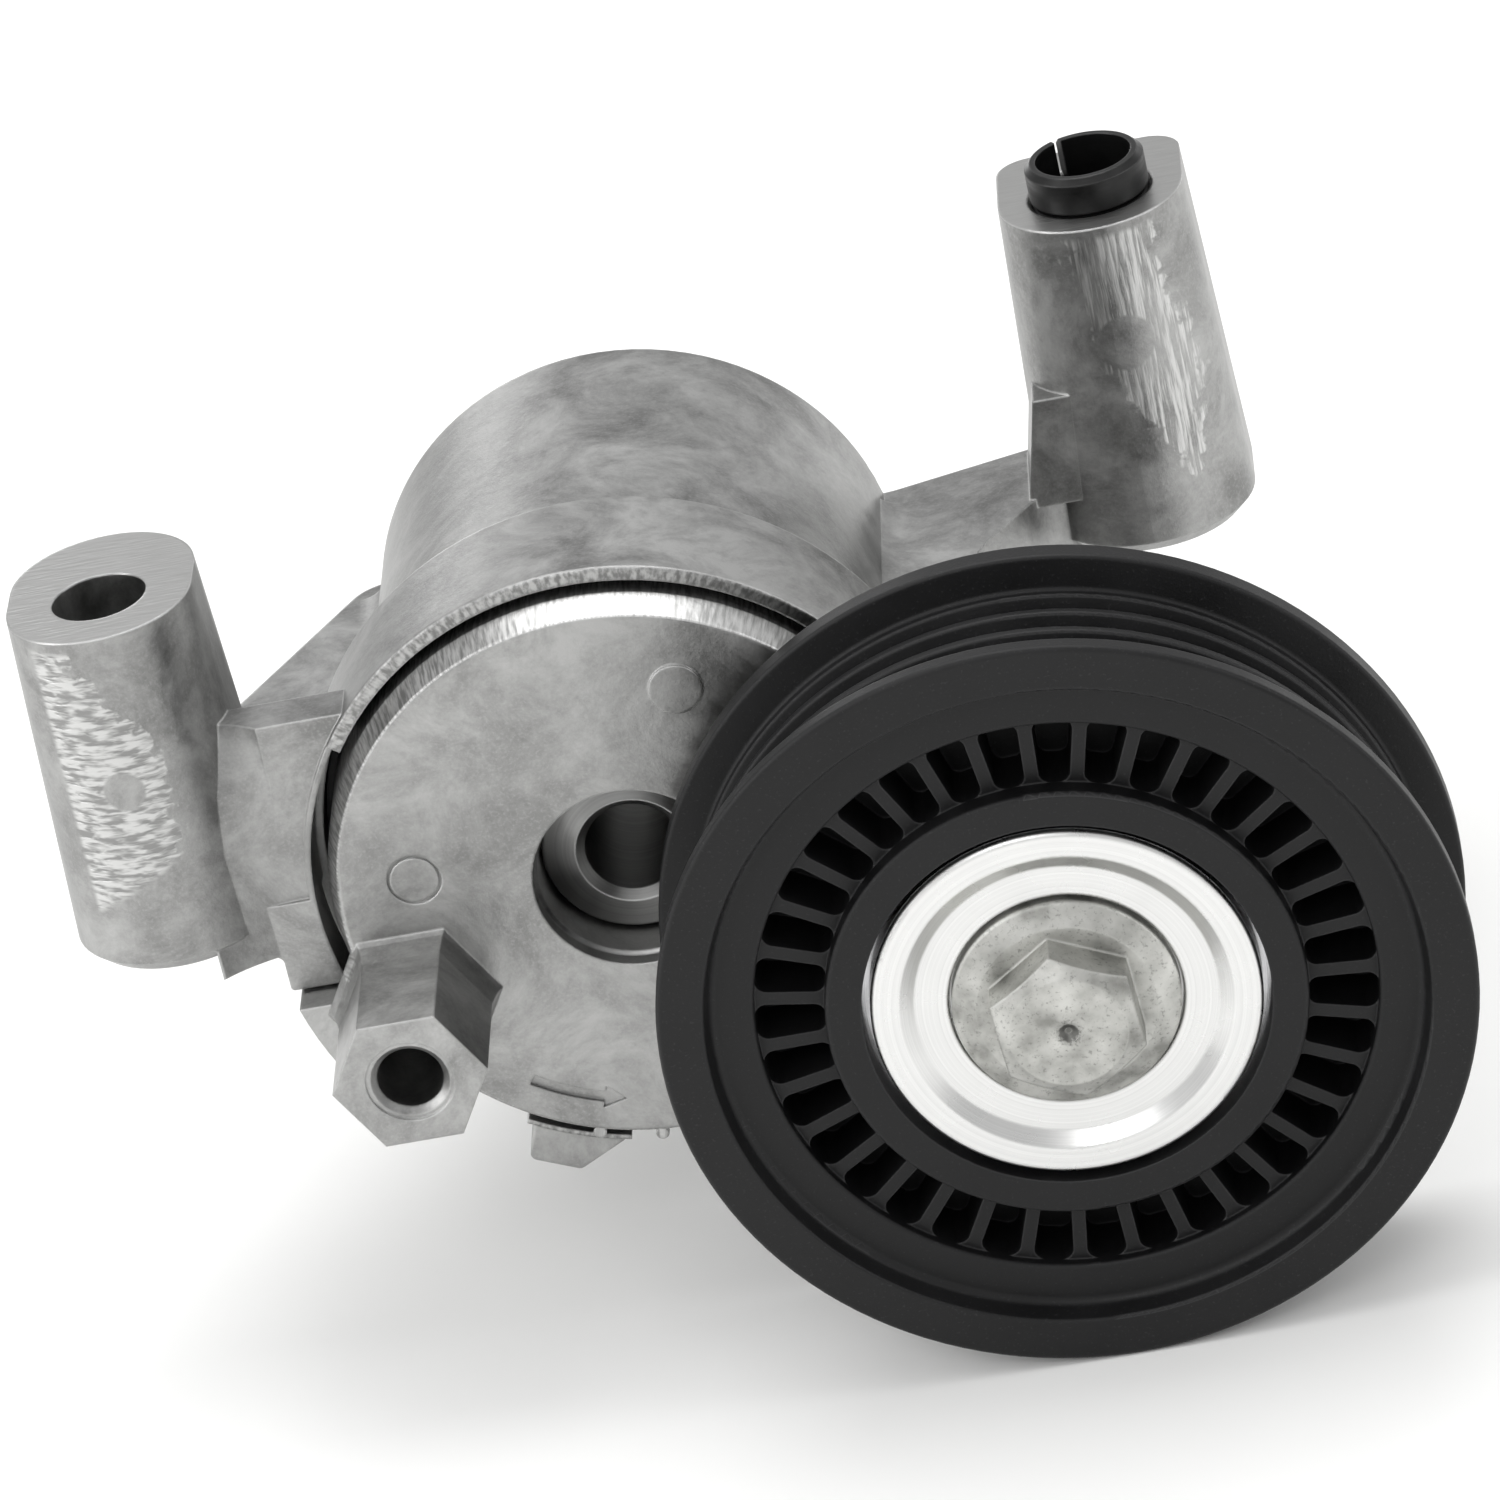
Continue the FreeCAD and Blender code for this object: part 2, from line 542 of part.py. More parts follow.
def arm():
    plate = revolved([
        (0, DISC_FRONT_Y), (DISC_R, DISC_FRONT_Y, 0.4), (DISC_SIDE_R, DISC_FRONT_Y + DISC_TAPER),
        (DISC_SIDE_R, SKIRT_REAR_Y), (DISC_SIDE_R - SKIRT_WALL, SKIRT_REAR_Y),
        (DISC_SIDE_R - SKIRT_WALL, DISC_REAR_Y), (ARM_HUB_R, DISC_REAR_Y, 0.2),
        (ARM_HUB_R, HUB_REAR_Y, 0.5), (0, HUB_REAR_Y),
    ])
    post = revolved([
        (0, BEARING_FRONT_Y + 0.8), (BORE_R, BEARING_FRONT_Y + 0.8, 0.4), (BORE_R, POST_FACE_Y),
        (NECK_R, POST_FACE_Y, 0.5), (NECK_R, NECK_REAR_Y), (POST_R, NECK_REAR_Y),
        (POST_R, POST_REAR_Y, 1), (0, POST_REAR_Y),
    ], ARM_X, ARM_Z)
    tool = hexagon(TOOL_X, TOOL_Z, TOOL_FRONT_Y, TOOL_REAR_Y)
    nubs = [ring(0.65, 0, DISC_FRONT_Y + 1.0, DISC_FRONT_Y + 3.2, *polar(DISC_SIDE_R, angle))
            for angle in (252, 264)]
    body = joined(plate, post, neck(), tool, tool_root(), stop_lug(), ring(2.55, 0, DISC_FRONT_Y - 0.3,
                  DISC_FRONT_Y + 1, 8.2, 19.1), *nubs)
    recess = revolved([
        (0, DISC_FRONT_Y - 4), (RECESS_R + RECESS_STEP, DISC_FRONT_Y - 4),
        (RECESS_R + RECESS_STEP, DISC_FRONT_Y + 1.6), (RECESS_R, DISC_FRONT_Y + 1.9),
        (RECESS_R, RECESS_FLOOR_Y), (0, RECESS_FLOOR_Y),
    ])
    bolt_hole = ring(BOLT_R + RUNNING, 0, 0, POST_REAR_Y + OVERCUT, ARM_X, ARM_Z)
    return body.cut([
        recess, bolt_hole, arrow(), disc_mark(-20.3, 3.8, 2.6, 0.25),
        ring(HUB_BORE_R, 0, RECESS_FLOOR_Y - OVERCUT, HUB_REAR_Y + OVERCUT),
        ring(TOOL_BORE_R, 0, TOOL_FRONT_Y - OVERCUT, DISC_FRONT_Y + 6, TOOL_X, TOOL_Z),
        ring(TOOL_SPOTFACE_R, 0, TOOL_FRONT_Y - OVERCUT, TOOL_FRONT_Y + TOOL_SPOTFACE_DEPTH, TOOL_X,
             TOOL_Z),
        Part.makeCone(TOOL_BORE_R + TOOL_COUNTERSINK, TOOL_BORE_R, TOOL_COUNTERSINK,
                      V(TOOL_X, TOOL_FRONT_Y + TOOL_SPOTFACE_DEPTH, TOOL_Z), Y_AXIS),
    ])


def pivot_bush(front):
    return ring(HUB_BORE_R, PIVOT_R + RUNNING, front, front + BUSH_LENGTH)


def thrust_washer():
    """Sits on the recess floor under the pivot tube's flange."""
    return ring(PIVOT_FLANGE_R, PIVOT_R + RUNNING, RECESS_FLOOR_Y - THRUST_THICKNESS, RECESS_FLOOR_Y)


def damper_shoe():
    """Friction ring behind the arm's skirt; it rubs on the bore of the housing's rim."""
    outer = RIM_BORE_R - SHOE_GAP
    shoe = ring(outer, outer - SHOE_WALL, SKIRT_REAR_Y, SKIRT_REAR_Y + SHOE_LENGTH)
    split = Part.makeBox(10, 20, 3, V(20, SKIRT_REAR_Y - 5, -1.5))
    return shoe.cut(split)


def damper_band():
    """Split spring-steel band that spreads the friction ring."""
    outer = RIM_BORE_R - SHOE_GAP - SHOE_WALL
    band = ring(outer, outer - BAND_SHEET, SKIRT_REAR_Y, SKIRT_REAR_Y + SHOE_LENGTH)
    split = Part.makeBox(10, 20, 3, V(20, SKIRT_REAR_Y - 5, -1.5))
    return band.cut(split)


def pulley_bolt():
    top_y = BOLT_FACE_Y - BOLT_HEAD_HEIGHT
    flange = revolved([
        (0, BOLT_FACE_Y), (BOLT_FLANGE_R - 2.2, BOLT_FACE_Y), (BOLT_FLANGE_R, BOLT_FACE_Y + 0.9, 0.3),
        (BOLT_FLANGE_R, BOLT_SEAT_Y), (0, BOLT_SEAT_Y),
    ], ARM_X, ARM_Z)
    corner_r = HEX_AF / math.sqrt(3)
    crown = revolved([
        (0, top_y), (HEX_AF / 2 - 1.0, top_y), (corner_r + 0.3, top_y + 1.3),
        (corner_r + 0.3, BOLT_FACE_Y + 1), (0, BOLT_FACE_Y + 1),
    ], ARM_X, ARM_Z)
    head = hexagon(ARM_X, ARM_Z, top_y, BOLT_FACE_Y + 0.5, 90 + BOLT_HEX_TURN).common(crown)
    shank = ring(BOLT_R, 0, BOLT_SEAT_Y, POST_REAR_Y - 2, ARM_X, ARM_Z)
    punch = Part.makeCone(1.0, 0.3, 0.5, V(ARM_X, top_y, ARM_Z), Y_AXIS)
    return joined(flange, head, shank).cut(punch)


def front_dust_shield():
    """Pressed shield: flat rim, dished middle and a cup clamped under the bolt's flange."""
    sheet = SHIELD_SHEET
    face = SHIELD_FRONT_Y
    dish = face + SHIELD_DISH_DEPTH
    cup_r = BOLT_FLANGE_R + 0.25
    clamp = BEARING_FRONT_Y
    return revolved([
        (BOLT_R + 0.3, clamp - sheet), (cup_r, clamp - sheet), (cup_r, dish, 0.3), (SHIELD_DISH_R, dish),
        (SHIELD_DISH_R + SHIELD_SLOPE, face, 0.5), (SHIELD_R, face, 0.6), (SHIELD_R, face + sheet),
        (SHIELD_DISH_R + SHIELD_SLOPE + 0.4, face + sheet), (SHIELD_DISH_R + 0.4, dish + sheet),
        (cup_r + sheet, dish + sheet), (cup_r + sheet, clamp), (BOLT_R + 0.3, clamp),
    ], ARM_X, ARM_Z)


def rear_dust_shield():
    return ring(SHIELD_R, BORE_R, BEARING_REAR_Y, POST_FACE_Y, ARM_X, ARM_Z)


# ---- pulley and bearing ----
def pulley_profile():
    """Half section of the pulley's rim and hub as (radius, y) points."""
    points = [(HUB_LIP_R, HUB_SETBACK), (HUB_RING_R, HUB_SETBACK, 0.4), (HUB_RING_R, VANE_SETBACK),
              (RIM_INNER_R, VANE_SETBACK), (RIM_INNER_R, RIM_STEP_DEPTH, 0.4),
              (RIM_STEP_R, RIM_STEP_DEPTH, 0.8), (RIM_STEP_R + 0.6, 0, 0.3), (PULLEY_R, 0, 0.5),
              (PULLEY_R, FLANGE_FRONT, 0.4)]
    space = PULLEY_WIDTH - FLANGE_FRONT - FLANGE_REAR
    first = FLANGE_FRONT + (space - (GROOVE_COUNT - 1) * GROOVE_PITCH) / 2
    root_r = GROOVE_CREST_R - GROOVE_DEPTH
    points.append((GROOVE_CREST_R, FLANGE_FRONT + 0.5, 0.4))
    for index in range(GROOVE_COUNT):
        middle = first + index * GROOVE_PITCH
        points.append((GROOVE_CREST_R, middle - GROOVE_MOUTH / 2, 0.3))
        points.append((root_r, middle - GROOVE_ROOT / 2, 0.25))
        points.append((root_r, middle + GROOVE_ROOT / 2, 0.25))
        points.append((GROOVE_CREST_R, middle + GROOVE_MOUTH / 2, 0.3))
    rear = PULLEY_WIDTH
    points += [(GROOVE_CREST_R, rear - FLANGE_REAR - 0.5, 0.4), (PULLEY_R, rear - FLANGE_REAR, 0.4),
               (PULLEY_R, rear, 0.5), (RIM_STEP_R, rear, 0.3), (RIM_STEP_R, rear - RIM_STEP_DEPTH, 0.8),
               (RIM_INNER_R, rear - RIM_STEP_DEPTH, 0.4), (RIM_INNER_R, rear - VANE_SETBACK),
               (HUB_RING_R, rear - VANE_SETBACK), (HUB_RING_R, rear - HUB_SETBACK, 0.4),
               (HUB_LIP_R, rear - HUB_SETBACK), (HUB_LIP_R, BEARING_REAR_Y),
               (BEARING_R, BEARING_REAR_Y), (BEARING_R, BEARING_FRONT_Y), (HUB_LIP_R, BEARING_FRONT_Y)]
    return points


def vane_pockets():
    """Pockets between the vanes, sunk from both faces down to the middle web."""
    def half_width(radius):
        return math.pi * radius / VANE_COUNT - VANE_THICKNESS / 2
    inner, outer = half_width(HUB_RING_R), half_width(RIM_INNER_R)
    near, far = ARM_X + HUB_RING_R, ARM_X + RIM_INNER_R
    points = [(near, ARM_Z - inner, 1.0), (far, ARM_Z - outer, 1.1),
              (far, ARM_Z + outer, 1.1), (near, ARM_Z + inner, 1.0)]
    front = plate_along_y(points, VANE_SETBACK - OVERCUT, WEB_MID_Y - WEB_THICKNESS / 2)
    rear = plate_along_y(points, WEB_MID_Y + WEB_THICKNESS / 2, PULLEY_WIDTH - VANE_SETBACK + OVERCUT)
    pitch = 360 / VANE_COUNT
    turns = [index * pitch for index in range(VANE_COUNT)]
    return [around_pulley(pocket, turn) for turn in turns for pocket in (front, rear)]


def pulley_wheel():
    return revolved(pulley_profile(), ARM_X, ARM_Z).cut(vane_pockets())


def raceway():
    groove_r = BALL_R + RUNNING
    return Part.makeTorus(PITCH_R, groove_r, V(ARM_X, WEB_MID_Y, ARM_Z), Y_AXIS)


def bearing_outer_ring():
    inner = BEARING_R - RING_WALL
    seal_r = inner + SEAL_LAND
    body = revolved([
        (seal_r, BEARING_FRONT_Y), (BEARING_R, BEARING_FRONT_Y, 0.5), (BEARING_R, BEARING_REAR_Y, 0.5),
        (seal_r, BEARING_REAR_Y), (seal_r, BEARING_REAR_Y - 2 * SEAL_THICKNESS),
        (inner, BEARING_REAR_Y - 2 * SEAL_THICKNESS), (inner, BEARING_FRONT_Y + 2 * SEAL_THICKNESS),
        (seal_r, BEARING_FRONT_Y + 2 * SEAL_THICKNESS),
    ], ARM_X, ARM_Z)
    return body.cut(raceway())


def bearing_inner_ring():
    outer = BORE_R + RING_WALL
    return ring(outer, BORE_R, BEARING_FRONT_Y, BEARING_REAR_Y, ARM_X, ARM_Z).cut(raceway())


def bearing_seal(front):
    """Seal seated in the outer ring, clear of the inner ring."""
    outer = BEARING_R - RING_WALL + SEAL_LAND
    inner = BORE_R + RING_WALL + FREE_GAP
    return ring(outer, inner, front, front + SEAL_THICKNESS, ARM_X, ARM_Z)


def bearing_balls():
    ball = Part.makeSphere(BALL_R, V(ARM_X + PITCH_R, WEB_MID_Y, ARM_Z))
    turns = [360 / BALL_COUNT * index for index in range(BALL_COUNT)]
    return Part.makeCompound([around_pulley(ball, turn) for turn in turns])


def rivet_places():
    """Angles half way between the balls."""
    return [360 / BALL_COUNT * (index + 0.5) for index in range(BALL_COUNT)]


def cage_half(side):
    """Pressed half of the cage: arched cups over the balls and flat tabs between them."""
    width = 1.9
    inner, outer = PITCH_R - width / 2, PITCH_R + width / 2
    pocket_r = BALL_R + RUNNING
    band = ring(outer, inner, WEB_MID_Y - 8, WEB_MID_Y + 8, ARM_X, ARM_Z)
    tabs = ring(outer, inner, WEB_MID_Y - CAGE_SHEET, WEB_MID_Y + CAGE_SHEET, ARM_X, ARM_Z)
    start = V(ARM_X + PITCH_R - 4, WEB_MID_Y, ARM_Z)
    cup = Part.makeCylinder(pocket_r + CAGE_SHEET, 8, start, V(1, 0, 0))
    pocket = Part.makeCylinder(pocket_r, 8, start, V(1, 0, 0))
    hole = ring(RIVET_R, 0, WEB_MID_Y - 3, WEB_MID_Y + 3, ARM_X + PITCH_R, ARM_Z)
    places = [360 / BALL_COUNT * index for index in range(BALL_COUNT)]
    full = tabs.fuse([around_pulley(cup, angle).common(band) for angle in places])
    full = full.cut([around_pulley(pocket, angle) for angle in places]
                    + [around_pulley(hole, angle) for angle in rivet_places()])
    front = WEB_MID_Y - 10 if side == "front" else WEB_MID_Y
    half_space = Part.makeBox(80, 10, 80, V(ARM_X - 40, front, ARM_Z - 40))
    return full.common(half_space)


def cage_rivets():
    """Rivets with flat heads over both cage halves."""
    rivet = revolved([
        (0, WEB_MID_Y - CAGE_SHEET - 0.3), (RIVET_R + 0.35, WEB_MID_Y - CAGE_SHEET - 0.3),
        (RIVET_R + 0.35, WEB_MID_Y - CAGE_SHEET), (RIVET_R, WEB_MID_Y - CAGE_SHEET),
        (RIVET_R, WEB_MID_Y + CAGE_SHEET), (RIVET_R + 0.35, WEB_MID_Y + CAGE_SHEET),
        (RIVET_R + 0.35, WEB_MID_Y + CAGE_SHEET + 0.3), (0, WEB_MID_Y + CAGE_SHEET + 0.3),
    ], ARM_X + PITCH_R, ARM_Z)
    return Part.makeCompound([around_pulley(rivet, angle) for angle in rivet_places()])


# ---- export ----
def pieces():
    return {
        "housing": housing(),
        "dowel_sleeve": dowel_sleeve(),
        "pivot_tube": pivot_tube(),
        "rear_washer": rear_washer(),
        "spring_liner": spring_liner(),
        "torsion_spring": torsion_spring(),
        "arm": arm(),
        "pivot_bush_front": pivot_bush(RECESS_FLOOR_Y + 0.5),
        "pivot_bush_rear": pivot_bush(HUB_REAR_Y - BUSH_LENGTH - 0.5),
        "thrust_washer": thrust_washer(),
        "damper_shoe": damper_shoe(),
        "damper_band": damper_band(),
        "pulley_bolt": pulley_bolt(),
        "front_dust_shield": front_dust_shield(),
        "rear_dust_shield": rear_dust_shield(),
        "pulley_wheel": pulley_wheel(),
        "bearing_outer_ring": bearing_outer_ring(),
        "bearing_inner_ring": bearing_inner_ring(),
        "bearing_seal_front": bearing_seal(BEARING_FRONT_Y + 0.3),
        "bearing_seal_rear": bearing_seal(BEARING_REAR_Y - SEAL_THICKNESS - 0.3),
        "bearing_balls": bearing_balls(),
        "bearing_cage_front": cage_half("front"),
        "bearing_cage_rear": cage_half("rear"),
        "cage_rivets": cage_rivets(),
    }


def main():
    os.makedirs("parts", exist_ok=True)
    to_origin = V(-LEFT_X, -LEFT_Y, -MOUNT_Z)
    for name, shape in pieces().items():
        placed = shape.copy()
        placed.translate(to_origin)
        placed.exportStep(os.path.join("parts", name + ".step"))
        box = placed.BoundBox
        print(name, "valid", placed.isValid(), "solids", len(placed.Solids),
              "volume", round(placed.Volume), "x", round(box.XMin, 1), round(box.XMax, 1),
              "y", round(box.YMin, 1), round(box.YMax, 1), "z", round(box.ZMin, 1), round(box.ZMax, 1))


main()
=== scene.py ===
"""Looks of an automatic belt tensioner: cast spring housing, sprung arm and grooved idler pulley."""
import math

import bmesh
import bpy
from mathutils import Matrix, Vector


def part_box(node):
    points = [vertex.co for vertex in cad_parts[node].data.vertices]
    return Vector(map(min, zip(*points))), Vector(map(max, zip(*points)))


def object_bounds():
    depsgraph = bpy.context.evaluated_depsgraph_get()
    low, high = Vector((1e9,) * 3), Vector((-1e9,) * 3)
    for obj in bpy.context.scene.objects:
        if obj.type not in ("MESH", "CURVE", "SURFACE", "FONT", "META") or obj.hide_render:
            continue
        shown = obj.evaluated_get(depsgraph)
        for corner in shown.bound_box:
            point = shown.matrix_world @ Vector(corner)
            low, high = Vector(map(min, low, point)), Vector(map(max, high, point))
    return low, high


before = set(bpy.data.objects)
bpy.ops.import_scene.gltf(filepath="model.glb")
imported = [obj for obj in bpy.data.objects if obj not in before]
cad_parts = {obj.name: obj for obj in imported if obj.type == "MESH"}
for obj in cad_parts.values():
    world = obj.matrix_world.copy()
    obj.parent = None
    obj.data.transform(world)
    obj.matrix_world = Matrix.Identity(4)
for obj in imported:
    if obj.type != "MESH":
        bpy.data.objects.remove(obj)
cad_low, cad_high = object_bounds()

MM = 0.001

# where the main axes lie, in metres
pivot_low, pivot_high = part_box("pivot_tube")
pulley_low, pulley_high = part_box("pulley_wheel")
sleeve_low, sleeve_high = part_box("dowel_sleeve")
PIVOT = (pivot_low + pivot_high) / 2
PULLEY = (pulley_low + pulley_high) / 2
SLEEVE = (sleeve_low + sleeve_high) / 2

# a Mix node's sockets for two colours and for two values
COLOUR_A, COLOUR_B, COLOUR = 6, 7, 2
VALUE_A, VALUE_B = 2, 3
# what nearly all of a noise lies between
USUAL = {"From Min": 0.3, "From Max": 0.7}


# ---- colours and nodes ----
def tone(code):
    """Linear RGBA from an sRGB hex value."""
    parts = [int(code[i:i + 2], 16) / 255 for i in (1, 3, 5)]
    linear = [c / 12.92 if c <= 0.04045 else ((c + 0.055) / 1.055) ** 2.4 for c in parts]
    return (*linear, 1.0)


def put(tree, kind, settings=None, links=None):
    """Adds a node, sets its properties, sockets and colour stops, and links its inputs.

    A link comes from a socket, or from a node's first output."""
    node = tree.nodes.new("ShaderNode" + kind)
    for name, value in (settings or {}).items():
        if name == "stops":
            ramp = node.color_ramp
            for index, (place, code) in enumerate(value):
                stop = ramp.elements[index] if index < 2 else ramp.elements.new(place)
                stop.position = place
                stop.color = tone(code)
        elif isinstance(name, str) and hasattr(node, name):
            setattr(node, name, value)
        else:
            node.inputs[name].default_value = value
    for name, source in (links or {}).items():
        socket = source.outputs[0] if isinstance(source, bpy.types.Node) else source
        tree.links.new(socket, node.inputs[name])
    return node


def blank(name, edge):
    """Node material with the surface's place in mm and its normal, rounded at edges by a radius in mm."""
    material = bpy.data.materials.new(name)
    material.use_nodes = True
    tree = material.node_tree
    tree.nodes.clear()
    place = put(tree, "TexCoord").outputs["Object"]
    mm = put(tree, "VectorMath", {"operation": "SCALE", "Scale": 1 / MM}, {0: place})
    soft = put(tree, "Bevel", {"samples": 4, "Radius": edge * MM})
    return material, tree, mm, soft


def finish(material, tree, soft, settings, colour, roughness=None, height=None, lift=0.02):
    """Principled surface over the softened normal; lift is the relief's height in mm."""
    normal = soft
    if height is not None:
        normal = put(tree, "Bump", {"Distance": lift * MM, "Strength": 1.0},
                     {"Height": height, "Normal": soft})
    links = {"Normal": normal, "Base Color": colour}
    if roughness is not None:
        links["Roughness"] = roughness
    shader = put(tree, "BsdfPrincipled", settings, links)
    put(tree, "OutputMaterial", {}, {"Surface": shader})
    return material


def lit_and_rubbed_edges(tree, soft, colour, strength, edge_tone):
    """Colour made paler along the outer edges, where the softened normal leaves the true one: a painted
    edge highlight, standing also for rubbed wear.
    """
    sharp, rounded = 0.995, 0.8
    true = put(tree, "NewGeometry").outputs["True Normal"]
    match = put(tree, "VectorMath", {"operation": "DOT_PRODUCT"}, {0: soft, 1: true}).outputs["Value"]
    share = put(tree, "MapRange", {"From Min": sharp, "From Max": rounded, "To Max": strength},
                {"Value": match})
    return put(tree, "Mix", {"data_type": "RGBA", COLOUR_B: tone(edge_tone)},
               {0: share, COLOUR_A: colour}).outputs[COLOUR]


def around(tree, mm, centre, axis):
    """Distance from an axis, the angle round it and the place along it, in mm and radians."""
    moved = put(tree, "VectorMath", {"operation": "SUBTRACT", 1: Vector(centre) / MM}, {0: mm})
    across, along, up = put(tree, "SeparateXYZ", {}, {0: moved}).outputs
    if axis == "z":
        along, up = up, along
    square = put(tree, "Math", {"operation": "MULTIPLY"}, {0: across, 1: across})
    square = put(tree, "Math", {"operation": "MULTIPLY_ADD"}, {0: up, 1: up, 2: square})
    radius = put(tree, "Math", {"operation": "SQRT"}, {0: square})
    angle = put(tree, "Math", {"operation": "ARCTAN2"}, {0: up, 1: across})
    return radius, angle, along


def rings(tree, mm, centre, axis, pitch):
    """Fine turned lines round an axis: noise that only changes with radius and depth."""
    radius, _, along = around(tree, mm, centre, axis)
    seat = put(tree, "CombineXYZ", {}, {0: radius, 1: along})
    return put(tree, "TexNoise", {"Scale": 1 / pitch, "Detail": 2.0, "Roughness": 0.7}, {"Vector": seat})


def spokes(tree, angle, other, count, other_scale=1.0):
    """Short cutting marks across a ring: noise that changes fast with the angle, slowly with the rest."""
    turn = put(tree, "Math", {"operation": "MULTIPLY", 1: count}, {0: angle})
    slow = put(tree, "Math", {"operation": "MULTIPLY", 1: other_scale}, {0: other})
    seat = put(tree, "CombineXYZ", {}, {0: turn, 1: slow})
    return put(tree, "TexNoise", {"Scale": 1.0, "Detail": 3.0}, {"Vector": seat})


def within(tree, *limits):
    """1 inside every (value, low, high, blend), fading to 0 over each blend."""
    total = None
    for value, low, high, blend in limits:
        for outside, inside in ((low - blend, low + blend), (high + blend, high - blend)):
            side = put(tree, "MapRange", {"interpolation_type": "SMOOTHSTEP", "From Min": outside,
                                          "From Max": inside}, {"Value": value})
            if total is not None:
                side = put(tree, "Math", {"operation": "MULTIPLY"}, {0: total, 1: side})
            total = side
    return total


# ---- finishes ----
def cast_skin(tree, mm, dark, mid, light):
    """Die-cast skin: cloudy flow marks 6 to 14 mm wide, stains, and a sandy grain of 0.3 mm."""
    cloud_size, stain_size, grain_size = 10, 2.6, 0.35
    cloud = put(tree, "TexNoise", {"Scale": 1 / cloud_size, "Detail": 8.0, "Roughness": 0.72,
                                   "Distortion": 0.4}, {"Vector": mm})
    colour = put(tree, "ValToRGB", {"stops": [(0.36, dark), (0.64, light), (0.5, mid)]}, {0: cloud})
    spot = put(tree, "TexNoise", {"Scale": 1 / stain_size, "Detail": 4.0, "Roughness": 0.7},
               {"Vector": mm})
    grain = put(tree, "TexNoise", {"Scale": 1 / grain_size, "Detail": 3.0, "Roughness": 0.6},
                {"Vector": mm})
    stain = put(tree, "MapRange", {"From Min": 0.58, "From Max": 0.75, "To Max": 0.4}, {"Value": spot})
    speck = put(tree, "MapRange", {"From Min": 0.5, "From Max": 0.7, "To Max": 0.3}, {"Value": grain})
    for share, shade in ((stain, dark), (speck, light)):
        colour = put(tree, "Mix", {"data_type": "RGBA", COLOUR_B: tone(shade)},
                     {0: share, COLOUR_A: colour}).outputs[COLOUR]
    rough = put(tree, "MapRange", {**USUAL, "To Min": 0.3, "To Max": 0.5}, {"Value": cloud})
    height = put(tree, "Math", {"operation": "MULTIPLY_ADD", 1: 0.35}, {0: grain, 2: spot})
    return colour, rough, height


def clear_of_pin(tree, mm, place, size):
    """0 on the dull round mark of a mould's ejector pin, 1 outside it; place and radius in mm."""
    blend, depth_share = 0.15, 0.2
    away = put(tree, "VectorMath", {"operation": "SUBTRACT", 1: place}, {0: mm})
    flat = put(tree, "VectorMath", {"operation": "MULTIPLY", 1: (1, depth_share, 1)}, {0: away})
    reach = put(tree, "VectorMath", {"operation": "LENGTH"}, {0: flat}).outputs["Value"]
    return put(tree, "MapRange", {"From Min": size - blend, "From Max": size + blend}, {"Value": reach})


def filed_patch(tree, mm, x, y, z, drift):
    """Dressed patch on the left boss, with wavy level file lines: where it is and its lines."""
    right_side = put(tree, "MapRange", {"From Min": -2.0, "From Max": -12.0, "To Min": -3.3,
                                        "To Max": 3.2}, {"Value": z})
    inside = put(tree, "Math", {"operation": "SUBTRACT"}, {0: right_side, 1: x})
    inside = put(tree, "Math", {"operation": "ADD"}, {0: inside, 1: drift})
    foot = put(tree, "Math", {"operation": "MULTIPLY_ADD", 1: 0.55, 2: -25.5}, {0: x})
    above = put(tree, "Math", {"operation": "SUBTRACT"}, {0: z, 1: foot})
    patch = within(tree, (inside, 0, 50, 0.35), (x, -6.3, 20, 0.3), (above, 0, 60, 0.5),
                   (z, -40, -1.2, 0.4), (y, -20, -1, 0.3))
    clear = clear_of_pin(tree, mm, (-0.6, -9.0, -16.0), 2.0)
    patch = put(tree, "Math", {"operation": "MULTIPLY"}, {0: patch, 1: clear})
    line_length, line_pitch = 2.2, 0.5
    stroke = put(tree, "VectorMath", {"operation": "MULTIPLY",
                                      1: (1 / line_length, 1 / line_length, 1 / line_pitch)}, {0: mm})
    line = put(tree, "TexNoise", {"Scale": 1.0, "Detail": 2.0, "Distortion": 0.3}, {"Vector": stroke})
    line = put(tree, "MapRange", {"interpolation_type": "SMOOTHSTEP", "From Min": 0.36,
                                  "From Max": 0.62}, {"Value": line})
    return patch, line


def scraped_patch(tree, mm, x, y, z, drift):
    """Dressed patch on the right boss, with slanting scrapes a few mm long: where it is and its scrapes."""
    centre = put(tree, "MapRange", {"From Min": -6.0, "From Max": -25.0, "To Min": 98.3,
                                    "To Max": 102.3}, {"Value": z})
    half = put(tree, "MapRange", {"From Min": -17.0, "From Max": -28.0, "To Min": 4.2, "To Max": 0.4},
               {"Value": z})
    off = put(tree, "Math", {"operation": "SUBTRACT"}, {0: x, 1: centre})
    off = put(tree, "Math", {"operation": "ABSOLUTE"}, {0: off})
    room = put(tree, "Math", {"operation": "SUBTRACT"}, {0: half, 1: off})
    room = put(tree, "Math", {"operation": "MULTIPLY_ADD", 1: 0.9}, {0: drift, 2: room})
    patch = within(tree, (room, 0, 50, 0.4), (y, 35, 50, 0.3), (z, -29, -1.0, 0.4))
    lean = math.radians(38)
    width, length, depth = 0.35, 4, 5
    turned = put(tree, "Mapping", {"Rotation": (0, lean, 0), "Scale": (1 / width, 1 / length, 1 / depth)},
                 {"Vector": mm})
    scrape = put(tree, "TexNoise", {"Scale": 1.0, "Detail": 3.0, "Roughness": 0.6}, {"Vector": turned})
    cut = put(tree, "MapRange", {"From Min": 0.4, "From Max": 0.52}, {"Value": scrape})
    for share in (cut, clear_of_pin(tree, mm, (98.1, 42.0, -12.6), 2.9)):
        patch = put(tree, "Math", {"operation": "MULTIPLY"}, {0: patch, 1: share})
    return patch, scrape


